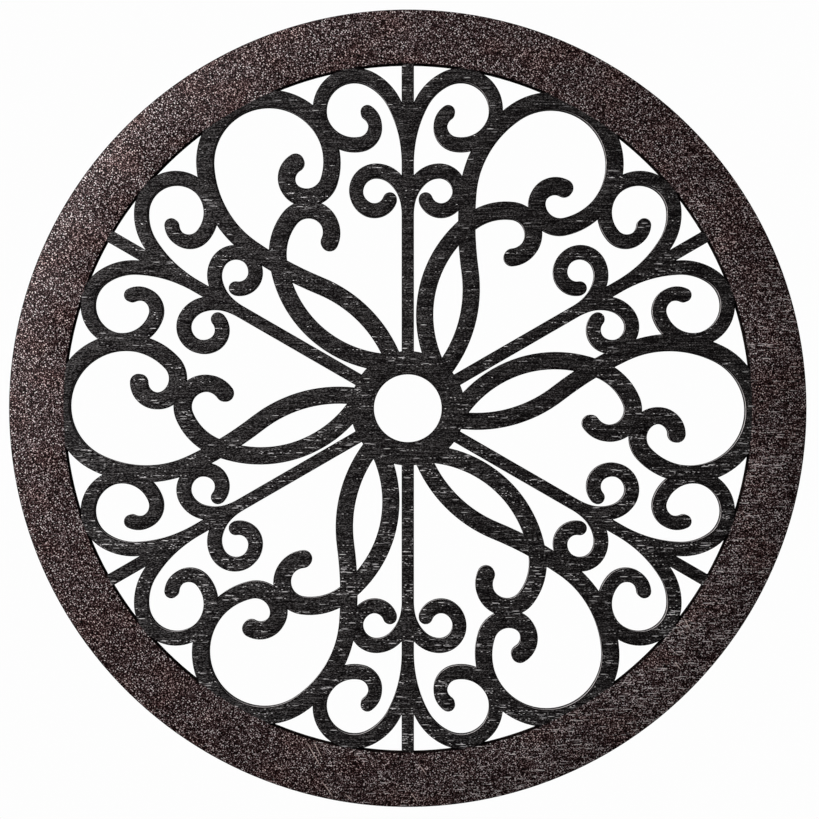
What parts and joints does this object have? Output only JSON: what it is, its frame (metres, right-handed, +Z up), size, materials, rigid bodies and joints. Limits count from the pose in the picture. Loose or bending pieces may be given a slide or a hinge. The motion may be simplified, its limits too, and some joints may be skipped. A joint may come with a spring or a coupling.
{
  "type": "wall medallion",
  "caption": "Round wall medallion: one flat wooden board, fretted right through with swirling scrolls about an open hub, inside a broad rim with a dark bronze fleck.",
  "frame": {"origin": "on the back of the rim at twelve o'clock, halfway across the rim's width, where the board is held to the wall", "axes": "+Z up, +Y into the wall, +X to the right of someone who faces the medallion; the front faces -Y"},
  "size_m": [0.3048, 0.006, 0.3048],
  "materials": {
    "charcoal_stained_board": "matte dark stain with a fine pale grain; the rim has a dark bronze flecked coat"
  },
  "bodies": {
    "root": {"medallion_board": "charcoal_stained_board"}
  },
  "joints": []
}
